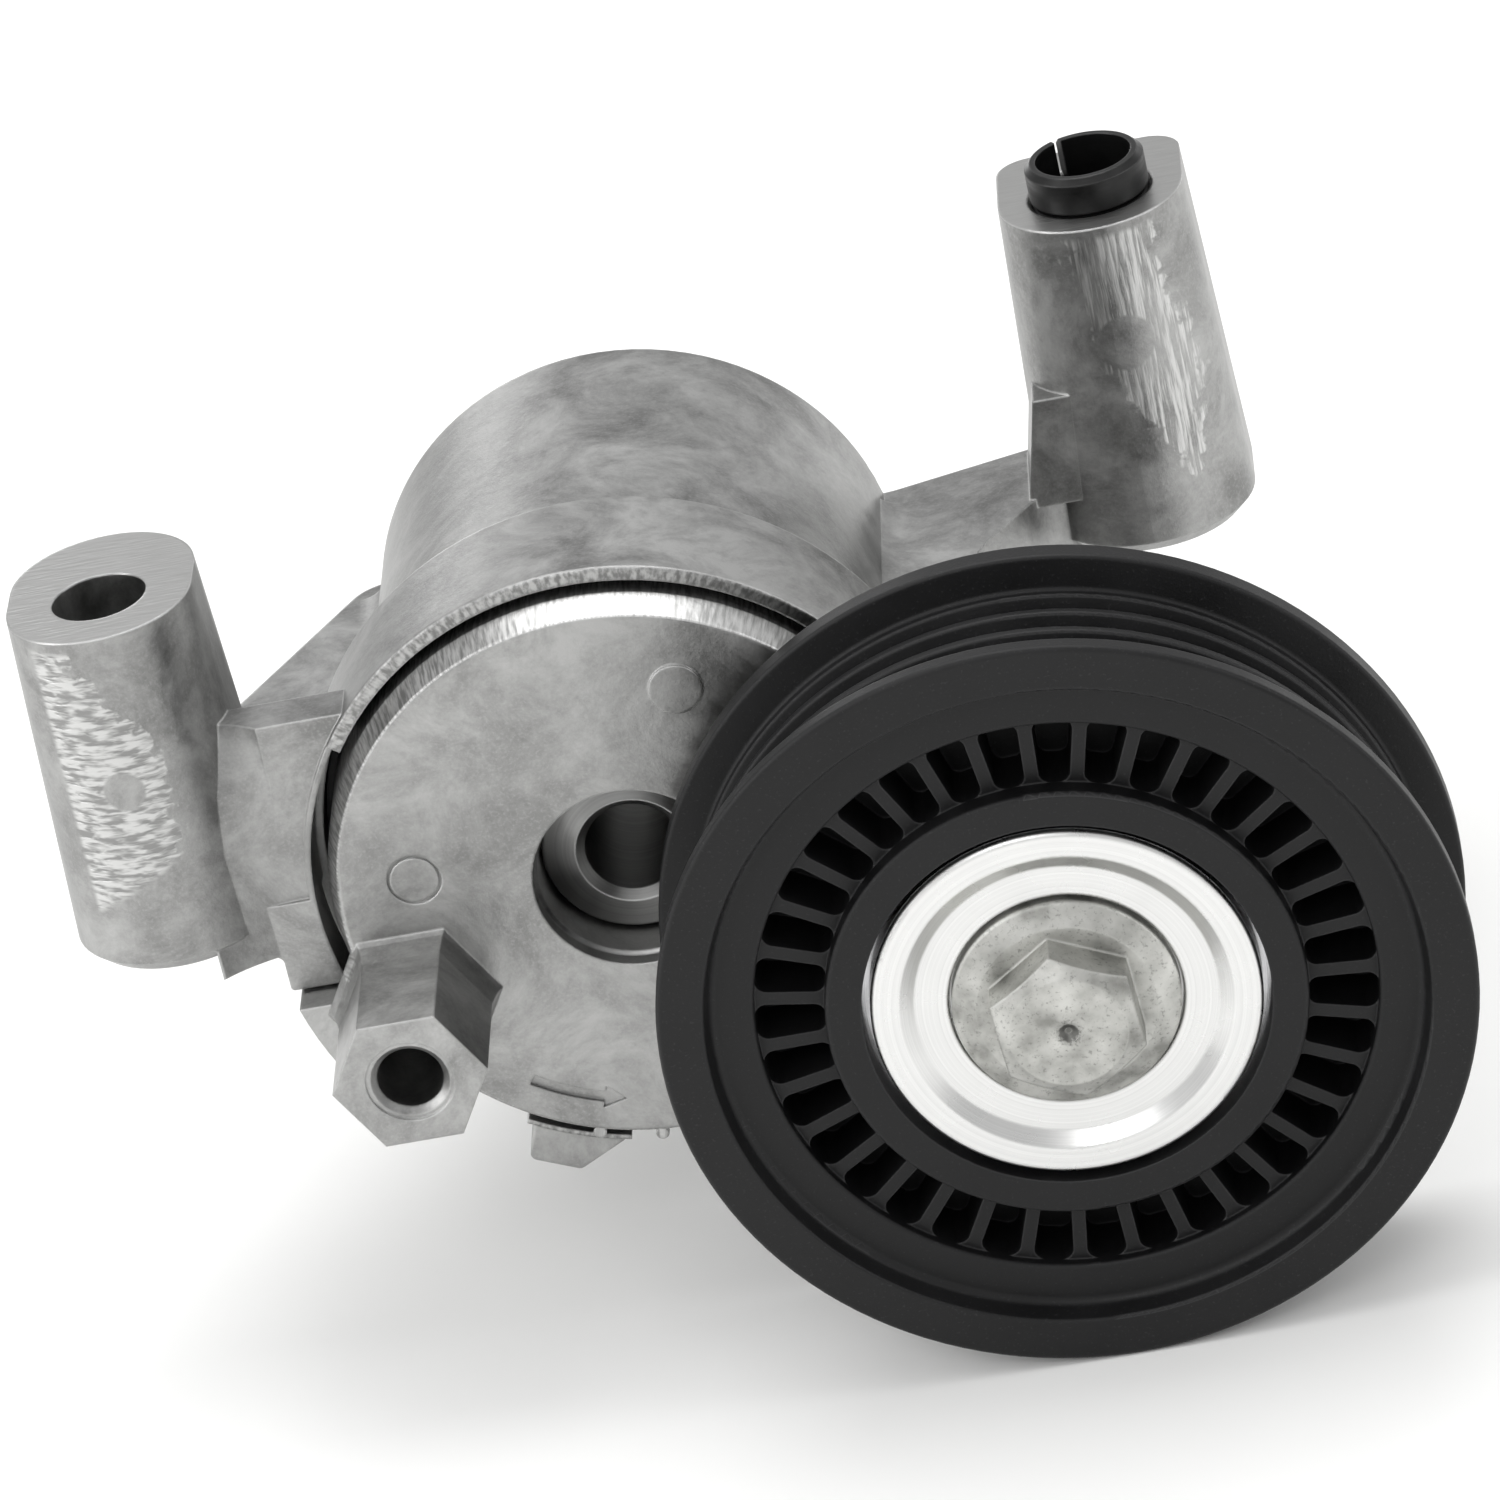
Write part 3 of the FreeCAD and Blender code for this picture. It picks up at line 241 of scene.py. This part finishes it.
def die_cast_aluminium():
    """Housing. Aluminium, pressure die-cast and left as cast: satin, cloudy grey, with two machined
    mounting faces and two hand-dressed patches on the bosses that catch the light."""
    material, tree, mm, soft = blank("die_cast_aluminium_housing", 0.35)
    colour, rough, height = cast_skin(tree, mm, "#7d7d7c", "#9a9a99", "#b2b2b1")
    x, y, z = put(tree, "SeparateXYZ", {}, {0: mm}).outputs
    wander = put(tree, "TexNoise", {"Scale": 1 / 1.6, "Detail": 3.0}, {"Vector": mm})
    drift = put(tree, "MapRange", {**USUAL, "To Min": -1.2, "To Max": 1.2}, {"Value": wander})
    left_patch, file_line = filed_patch(tree, mm, x, y, z, drift)
    right_patch, scrape = scraped_patch(tree, mm, x, y, z, drift)
    bright = put(tree, "MapRange", {"interpolation_type": "SMOOTHSTEP", "From Min": 0.34,
                                    "From Max": 0.66}, {"Value": scrape})

    # milled mounting faces and the machined front of the rim
    top = within(tree, (z, -0.12, 1, 0.03))
    radius, angle, _ = around(tree, mm, PIVOT, "y")
    rim = within(tree, (y, -8, -7.2, 0.02), (radius, 28, 32, 0.2))
    brushed = put(tree, "MapRange", {"interpolation_type": "SMOOTHSTEP", "From Min": 0.34,
                                     "From Max": 0.66}, {"Value": spokes(tree, angle, radius, 60.0)})
    sweep = put(tree, "VectorMath", {"operation": "MULTIPLY", 1: (0.15, 1.2, 1.0)}, {0: mm})
    milled = put(tree, "TexNoise", {"Scale": 1 / 0.5, "Detail": 2.0}, {"Vector": sweep})
    for share, pattern, dark, light in ((left_patch, file_line, "#8f8f8e", "#cbcbca"),
                                        (right_patch, bright, "#969695", "#cfcfce"),
                                        (top, milled, "#adadac", "#c0c0bf"),
                                        (rim, brushed, "#7c7c7b", "#b4b4b3")):
        over = put(tree, "ValToRGB", {"stops": [(0, dark), (1, light)]}, {0: pattern})
        colour = put(tree, "Mix", {"data_type": "RGBA"},
                     {0: share, COLOUR_A: colour, COLOUR_B: over}).outputs[COLOUR]
    # paler outer edges: painted edge highlight, also standing for rubbed wear
    colour = lit_and_rubbed_edges(tree, soft, colour, 0.55, "#dcdcdb")

    worked = put(tree, "Math", {"operation": "ADD", "use_clamp": True}, {0: top, 1: rim})
    for share, worked_rough in ((worked, 0.33), (left_patch, 0.4)):
        rough = put(tree, "Mix", {VALUE_B: worked_rough}, {0: share, VALUE_A: rough})
    for share, relief in ((top, milled), (left_patch, file_line), (right_patch, scrape)):
        height = put(tree, "Mix", {}, {0: share, VALUE_A: height, VALUE_B: relief})
    return finish(material, tree, soft, {"Metallic": 1.0}, colour, rough, height, 0.05)


def machined_aluminium():
    """Arm. The same casting metal, with a turned side and a cast front that is cloudier and smoother
    than the housing; the side carries a painted highlight where it faces up."""
    material, tree, mm, soft = blank("die_cast_aluminium_arm", 0.35)
    colour, rough, height = cast_skin(tree, mm, "#868685", "#a0a09f", "#b8b8b7")
    radius, angle, along = around(tree, mm, PIVOT, "y")
    side = within(tree, (radius, 27.9, 29.6, 0.05), (along, -36, 60, 0.1))
    brushed = spokes(tree, angle, along, 80.0, 0.4)
    marks = put(tree, "MapRange", {"interpolation_type": "SMOOTHSTEP", "From Min": 0.34,
                                   "From Max": 0.66}, {"Value": brushed})
    # painted highlight on the upward-facing band of the turned side, following the brush marks
    top_highlight = put(tree, "Math", {"operation": "MULTIPLY"},
                {0: within(tree, (angle, 0.9, 1.75, 0.25)), 1: brushed})
    turned = put(tree, "ValToRGB", {"stops": [(0, "#848483"), (1, "#c0c0bf")]}, {0: marks})
    turned = put(tree, "Mix", {"data_type": "RGBA", COLOUR_B: tone("#f0f0ef")},
                 {0: top_highlight, COLOUR_A: turned}).outputs[COLOUR]
    colour = put(tree, "Mix", {"data_type": "RGBA"},
                 {0: side, COLOUR_A: colour, COLOUR_B: turned}).outputs[COLOUR]
    rough = put(tree, "Mix", {VALUE_B: 0.36}, {0: side, VALUE_A: rough})
    # paler outer edges: painted edge highlight, also standing for rubbed wear
    colour = lit_and_rubbed_edges(tree, soft, colour, 0.5, "#dededd")
    return finish(material, tree, soft, {"Metallic": 1.0}, colour, rough, height, 0.04)


def glass_filled_nylon():
    """Pulley wheel. Nylon with glass fibre, injection moulded: near black, satin, with a faint sparkle of
    fibres 0.2 mm long, and edges made paler by a painted highlight."""
    material, tree, mm, soft = blank("moulded_glass_filled_nylon", 0.3)
    cloud = put(tree, "TexNoise", {"Scale": 1 / 9, "Detail": 4.0}, {"Vector": mm})
    colour = put(tree, "ValToRGB", {"stops": [(0.3, "#0e0e0f"), (0.7, "#161617")]}, {0: cloud})
    fibre = put(tree, "TexNoise", {"Scale": 1 / 0.28, "Detail": 2.0}, {"Vector": mm})
    fleck = put(tree, "MapRange", {"From Min": 0.62, "From Max": 0.74, "To Max": 0.35}, {"Value": fibre})
    colour = put(tree, "Mix", {"data_type": "RGBA", COLOUR_B: tone("#3a3a3b")},
                 {0: fleck, COLOUR_A: colour}).outputs[COLOUR]
    # paler outer edges: painted edge highlight
    colour = lit_and_rubbed_edges(tree, soft, colour, 0.6, "#4a4a4b")
    rough = put(tree, "MapRange", {**USUAL, "To Min": 0.4, "To Max": 0.52}, {"Value": cloud})
    return finish(material, tree, soft, {"Metallic": 0.0, "Specular IOR Level": 0.3}, colour, rough,
                  fibre, 0.015)


def bright_zinc():
    """Dust shields. Steel sheet, pressed and zinc plated: nearly white, with fine drawing rings."""
    material, tree, mm, soft = blank("bright_zinc_plated_sheet", 0.35)
    lines = rings(tree, mm, PULLEY, "y", 0.22)
    cloud = put(tree, "TexNoise", {"Scale": 1 / 5, "Detail": 3.0}, {"Vector": mm})
    colour = put(tree, "ValToRGB", {"stops": [(0, "#c9c9c8"), (1, "#f4f4f3")]}, {0: lines})
    rough = put(tree, "MapRange", {**USUAL, "To Min": 0.24, "To Max": 0.34}, {"Value": cloud})
    return finish(material, tree, soft, {"Metallic": 1.0}, colour, rough, lines, 0.006)


def dull_zinc():
    """Bolt and rear washer. Cold-formed steel, zinc plated and tumbled: dull, speckled, soft edges, and a
    dark blot where the punch met the middle of the bolt's head."""
    material, tree, mm, soft = blank("tumbled_zinc_plated_steel", 0.4)
    grain = put(tree, "TexNoise", {"Scale": 1 / 0.45, "Detail": 4.0, "Roughness": 0.7}, {"Vector": mm})
    cloud = put(tree, "TexNoise", {"Scale": 1 / 4, "Detail": 4.0}, {"Vector": mm})
    colour = put(tree, "ValToRGB", {"stops": [(0.33, "#8d8d89"), (0.72, "#d0d0cc"), (0.5, "#b6b6b2")]},
                 {0: cloud})
    speck = put(tree, "MapRange", {"From Min": 0.56, "From Max": 0.66, "To Max": 0.6}, {"Value": grain})
    radius, _, along = around(tree, mm, PULLEY, "y")
    ragged = put(tree, "Math", {"operation": "MULTIPLY_ADD", 1: 2.2}, {0: grain, 2: radius})
    punch = within(tree, (ragged, -1, 2.2, 0.4), (along, -30, -10.4, 0.1))
    for share, shade in ((speck, "#7c7c79"), (punch, "#6a6a67")):
        colour = put(tree, "Mix", {"data_type": "RGBA", COLOUR_B: tone(shade)},
                     {0: share, COLOUR_A: colour}).outputs[COLOUR]
    # paler outer edges: painted edge highlight, also standing for rubbed wear
    colour = lit_and_rubbed_edges(tree, soft, colour, 0.5, "#dededa")
    rough = put(tree, "MapRange", {**USUAL, "To Min": 0.38, "To Max": 0.5}, {"Value": grain})
    return finish(material, tree, soft, {"Metallic": 1.0}, colour, rough, grain, 0.02)


def black_oxide():
    """Dowel sleeve. Rolled spring steel, heat treated and blackened: oily black with a slight sheen."""
    material, tree, mm, soft = blank("blackened_spring_steel", 0.25)
    lines = rings(tree, mm, SLEEVE, "z", 0.4)
    cloud = put(tree, "TexNoise", {"Scale": 1 / 3, "Detail": 4.0}, {"Vector": mm})
    colour = put(tree, "ValToRGB", {"stops": [(0, "#1c1c1c"), (1, "#3c3c3c")]}, {0: cloud})
    # paler outer edges: painted edge highlight, also standing for rubbed wear
    colour = lit_and_rubbed_edges(tree, soft, colour, 0.6, "#6a6a6a")
    rough = put(tree, "MapRange", {**USUAL, "To Min": 0.26, "To Max": 0.42}, {"Value": lines})
    return finish(material, tree, soft, {"Metallic": 0.85}, colour, rough, lines, 0.01)


def turned_steel(name, centre, dark, light, pitch, roughness):
    """Bare steel, turned or ground: fine rings round its axis, grey and fairly bright."""
    material, tree, mm, soft = blank(name, 0.3)
    lines = rings(tree, mm, centre, "y", pitch)
    cloud = put(tree, "TexNoise", {"Scale": 1 / 4, "Detail": 3.0}, {"Vector": mm})
    colour = put(tree, "ValToRGB", {"stops": [(0, dark), (1, light)]}, {0: lines})
    # paler outer edges: painted edge highlight, also standing for rubbed wear
    colour = lit_and_rubbed_edges(tree, soft, colour, 0.6, "#e6e6e6")
    rough = put(tree, "MapRange", {**USUAL, "To Min": roughness - 0.06, "To Max": roughness + 0.08},
                {"Value": cloud})
    return finish(material, tree, soft, {"Metallic": 1.0}, colour, rough, lines, 0.01)


def spring_wire():
    """Torsion spring and damper band. Oil-tempered wire: blue-black scale with a dull sheen."""
    material, tree, mm, soft = blank("oil_tempered_spring_steel", 0.2)
    cloud = put(tree, "TexNoise", {"Scale": 1 / 2, "Detail": 5.0}, {"Vector": mm})
    colour = put(tree, "ValToRGB", {"stops": [(0, "#2a2b2e"), (1, "#55565a")]}, {0: cloud})
    rough = put(tree, "MapRange", {**USUAL, "To Min": 0.32, "To Max": 0.5}, {"Value": cloud})
    return finish(material, tree, soft, {"Metallic": 0.9}, colour, rough, cloud, 0.01)


def bearing_polymer():
    """Bushes, liner and thrust washer. Filled nylon, moulded: tan, matt, with dark filler specks."""
    material, tree, mm, soft = blank("moulded_filled_nylon_tan", 0.2)
    speck = put(tree, "TexNoise", {"Scale": 1 / 0.3, "Detail": 2.0}, {"Vector": mm})
    share = put(tree, "MapRange", {"From Min": 0.55, "From Max": 0.7, "To Max": 0.6}, {"Value": speck})
    colour = put(tree, "ValToRGB", {"stops": [(0, "#a58a62"), (1, "#6d5a3e")]}, {0: share})
    return finish(material, tree, soft, {"Metallic": 0.0, "Roughness": 0.55}, colour, None, speck, 0.01)


def seal_rubber():
    """Bearing seals. Nitrile rubber moulded on a steel disc: black and matt with faint rings."""
    material, tree, mm, soft = blank("moulded_nitrile_rubber", 0.2)
    lines = rings(tree, mm, PULLEY, "y", 0.5)
    colour = put(tree, "ValToRGB", {"stops": [(0, "#101010"), (1, "#202020")]}, {0: lines})
    return finish(material, tree, soft, {"Metallic": 0.0, "Roughness": 0.6}, colour, None, lines, 0.02)


def brass():
    """Cage rivets. Brass wire, cold headed: warm yellow, fairly smooth."""
    material, tree, mm, soft = blank("cold_headed_brass", 0.1)
    cloud = put(tree, "TexNoise", {"Scale": 1 / 0.6, "Detail": 3.0}, {"Vector": mm})
    colour = put(tree, "ValToRGB", {"stops": [(0, "#a8843e"), (1, "#cda85c")]}, {0: cloud})
    return finish(material, tree, soft, {"Metallic": 1.0, "Roughness": 0.35}, colour, None, cloud, 0.005)


def wear(nodes, material):
    """Gives a finish to nodes of the frame."""
    for name in nodes:
        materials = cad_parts[name].data.materials
        materials.clear()
        materials.append(material)


wear(["housing"], die_cast_aluminium())
wear(["arm"], machined_aluminium())
wear(["pulley_wheel", "damper_shoe"], glass_filled_nylon())
wear(["front_dust_shield", "rear_dust_shield"], bright_zinc())
wear(["pulley_bolt", "rear_washer"], dull_zinc())
wear(["dowel_sleeve"], black_oxide())
wear(["pivot_tube"], turned_steel("turned_steel_pivot", PIVOT, "#858584", "#adadac", 0.3, 0.34))
wear(["bearing_outer_ring", "bearing_inner_ring", "bearing_balls"],
     turned_steel("ground_bearing_steel", PULLEY, "#b4b4b6", "#d8d8da", 0.2, 0.2))
wear(["bearing_cage_front", "bearing_cage_rear"],
     turned_steel("pressed_steel_cage", PULLEY, "#8a8a8c", "#b0b0b2", 0.6, 0.36))
wear(["torsion_spring", "damper_band"], spring_wire())
wear(["spring_liner", "pivot_bush_front", "pivot_bush_rear", "thrust_washer"], bearing_polymer())
wear(["bearing_seal_front", "bearing_seal_rear"], seal_rubber())
wear(["cage_rivets"], brass())


# ---- floor, light and camera ----
def floor():
    """Plain pale floor just under the object."""
    half_size, gap = 3.0, 0.1 * MM
    mesh = bpy.data.meshes.new("studio_floor")
    sheet = bmesh.new()
    bmesh.ops.create_grid(sheet, x_segments=2, y_segments=2, size=half_size)
    bmesh.ops.translate(sheet, verts=sheet.verts, vec=(PULLEY.x, PULLEY.y, cad_low.z - gap))
    sheet.to_mesh(mesh)
    sheet.free()
    base = bpy.data.objects.new("studio_floor", mesh)
    bpy.context.scene.collection.objects.link(base)
    material, tree, mm, soft = blank("white_painted_floor", 0.3)
    cloud = put(tree, "TexNoise", {"Scale": 1 / 60, "Detail": 2.0}, {"Vector": mm})
    colour = put(tree, "ValToRGB", {"stops": [(0, "#f4f4f3"), (1, "#f8f8f7")]}, {0: cloud})
    mesh.materials.append(finish(material, tree, soft, {"Roughness": 0.8}, colour))


def studio():
    """Soft boxes aimed at the middle of the object, in a pale room; places and sizes in metres."""
    middle = (cad_low + cad_high) / 2
    for name, place, size, power in (
            ("left_softbox", (-0.75, -0.25, 0.45), (0.35, 0.9), 3.4),
            ("right_softbox", (0.85, -0.2, 0.4), (0.3, 0.9), 1.8),
            ("top_softbox", (0.0, 0.25, 0.95), (0.8, 0.6), 5.0),
            ("rear_left_strip", (-0.35, 1.0, 0.05), (0.22, 0.5), 0.9),
            ("rear_right_strip", (0.6, 0.75, 0.1), (0.2, 0.5), 0.5),
            ("front_softbox", (-0.3, -1.1, 0.9), (0.8, 0.5), 3.6)):
        lamp = bpy.data.lights.new(name, "AREA")
        lamp.shape = "RECTANGLE"
        lamp.size, lamp.size_y = size
        lamp.energy = power
        light = bpy.data.objects.new(name, lamp)
        light.location = middle + Vector(place)
        light.rotation_euler = (-Vector(place)).to_track_quat("-Z", "Y").to_euler()
        bpy.context.scene.collection.objects.link(light)
    world = bpy.data.worlds.new("studio_air")
    world.use_nodes = True
    air = world.node_tree.nodes["Background"].inputs
    air["Color"].default_value = tone("#e6e6e6")
    air["Strength"].default_value = 0.8
    bpy.context.scene.world = world
    bpy.context.scene.view_settings.view_transform = "Standard"


def camera():
    """Camera above and in front of the pulley, rolled a little; its place is from the pulley, in mm."""
    lens = bpy.data.cameras.new("studio_camera")
    lens.sensor_width = 36
    lens.lens = 192
    lens.clip_end = 20
    eye = bpy.data.objects.new("studio_camera", lens)
    place = PULLEY + Vector((49.4, -647.6, 369.4)) * MM
    turn = Matrix.Identity(4)
    for angle, axis in ((6.5, "Z"), (62.3, "X"), (-13.04, "Z")):
        turn = turn @ Matrix.Rotation(math.radians(angle), 4, axis)
    eye.matrix_world = Matrix.Translation(place) @ turn
    bpy.context.scene.collection.objects.link(eye)
    bpy.context.scene.camera = eye


floor()
studio()
camera()
